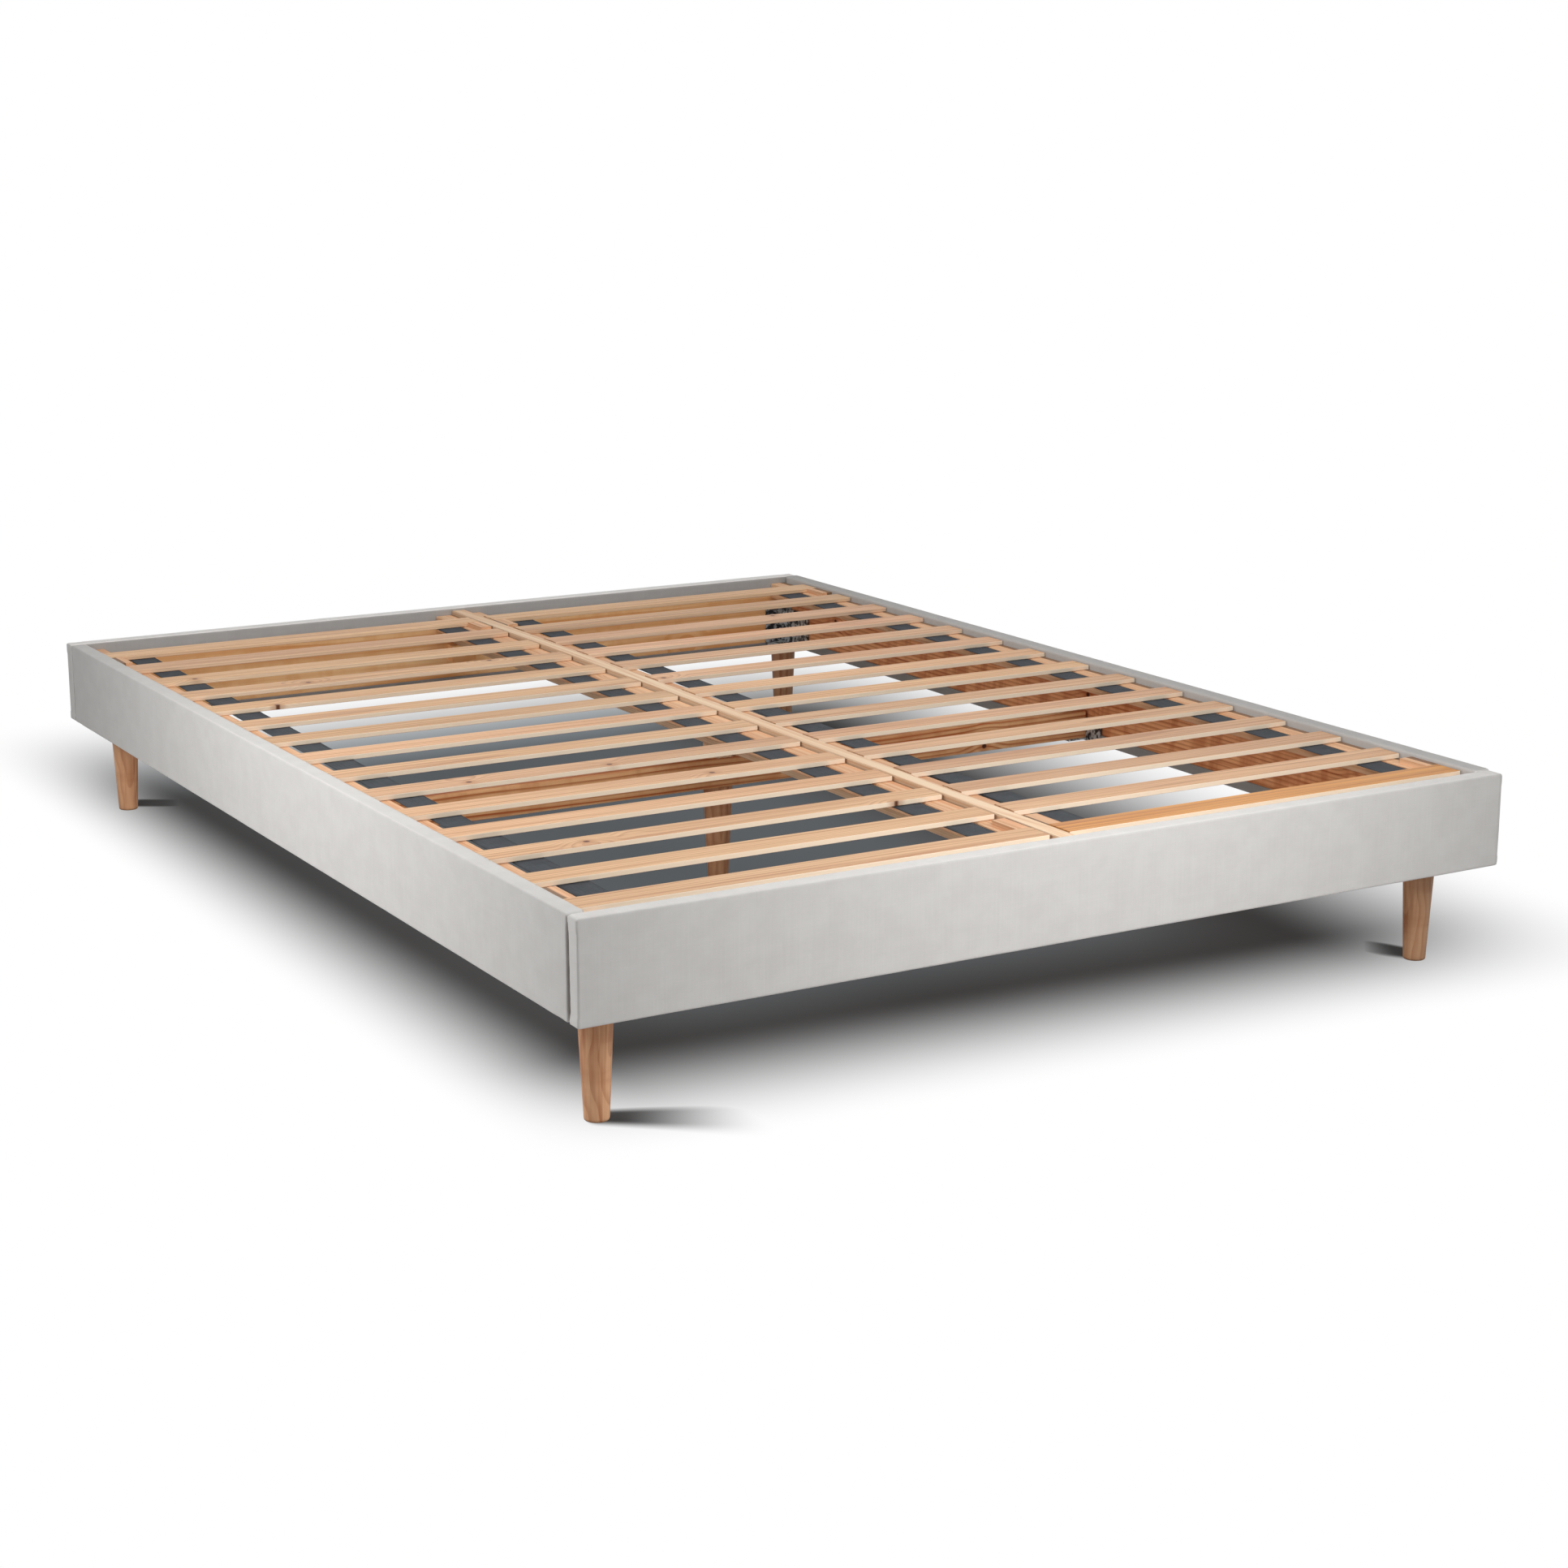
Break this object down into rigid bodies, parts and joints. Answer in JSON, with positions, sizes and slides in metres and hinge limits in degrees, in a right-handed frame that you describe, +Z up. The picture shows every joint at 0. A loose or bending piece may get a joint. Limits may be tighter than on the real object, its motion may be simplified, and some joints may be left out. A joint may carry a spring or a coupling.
{
  "type": "upholstered bed frame",
  "caption": "Low double bed frame with fabric-wrapped rails, short tapered wooden legs, a middle beam and two lift-out rolls of flat wooden slats.",
  "frame": {"origin": "on the floor, under the middle of the bed", "axes": "+Y to the head of the bed, +X to the right seen from the foot, +Z up"},
  "size_m": [1.4, 1.9, 0.2746],
  "materials": {
    "upholstery": "matt woven, pale warm grey",
    "rail_timber": "sawn and planed pine, reddish brown",
    "slat_timber": "planed pine, satin",
    "leg_timber": "turned oak colour, satin lacquer",
    "webbing": "matt dark woven tape",
    "zinc_steel": "dull zinc plating"
  },
  "bodies": {
    "frame": {"head_rail": "rail_timber", "foot_rail": "rail_timber", "left_rail": "rail_timber", "right_rail": "rail_timber", "head_rail_cover": "upholstery", "foot_rail_cover": "upholstery", "left_rail_cover": "upholstery", "right_rail_cover": "upholstery", "center_beam": "slat_timber", "left_ledger": "slat_timber", "left_beam_ledger": "slat_timber", "right_beam_ledger": "slat_timber", "right_ledger": "slat_timber", "cross_rail": "rail_timber", "head_left_leg": "leg_timber", "head_right_leg": "leg_timber", "foot_left_leg": "leg_timber", "foot_right_leg": "leg_timber", "center_leg": "leg_timber", "head_left_bracket": "zinc_steel", "head_right_bracket": "zinc_steel", "foot_left_bracket": "zinc_steel", "foot_right_bracket": "zinc_steel", "left_cross_rail_bracket": "zinc_steel", "right_cross_rail_bracket": "zinc_steel", "center_leg_bolt": "zinc_steel"},
    "left_slat_roll": {"left_slat_01": "slat_timber", "left_slat_02": "slat_timber", "left_slat_03": "slat_timber", "left_slat_04": "slat_timber", "left_slat_05": "slat_timber", "left_slat_06": "slat_timber", "left_slat_07": "slat_timber", "left_slat_08": "slat_timber", "left_slat_09": "slat_timber", "left_slat_10": "slat_timber", "left_slat_11": "slat_timber", "left_slat_12": "slat_timber", "left_slat_13": "slat_timber", "left_slat_14": "slat_timber", "left_slat_15": "slat_timber", "left_inner_tape": "webbing", "left_outer_tape": "webbing"},
    "right_slat_roll": {"right_slat_01": "slat_timber", "right_slat_02": "slat_timber", "right_slat_03": "slat_timber", "right_slat_04": "slat_timber", "right_slat_05": "slat_timber", "right_slat_06": "slat_timber", "right_slat_07": "slat_timber", "right_slat_08": "slat_timber", "right_slat_09": "slat_timber", "right_slat_10": "slat_timber", "right_slat_11": "slat_timber", "right_slat_12": "slat_timber", "right_slat_13": "slat_timber", "right_slat_14": "slat_timber", "right_slat_15": "slat_timber", "right_inner_tape": "webbing", "right_outer_tape": "webbing"}
  },
  "joints": [
    {"name": "left_roll_lift", "type": "slide", "parent": "frame", "child": "left_slat_roll", "axis": [0, 0, 1], "range_m": [0, 0.15]},
    {"name": "right_roll_lift", "type": "slide", "parent": "frame", "child": "right_slat_roll", "axis": [0, 0, 1], "range_m": [0, 0.15]}
  ]
}
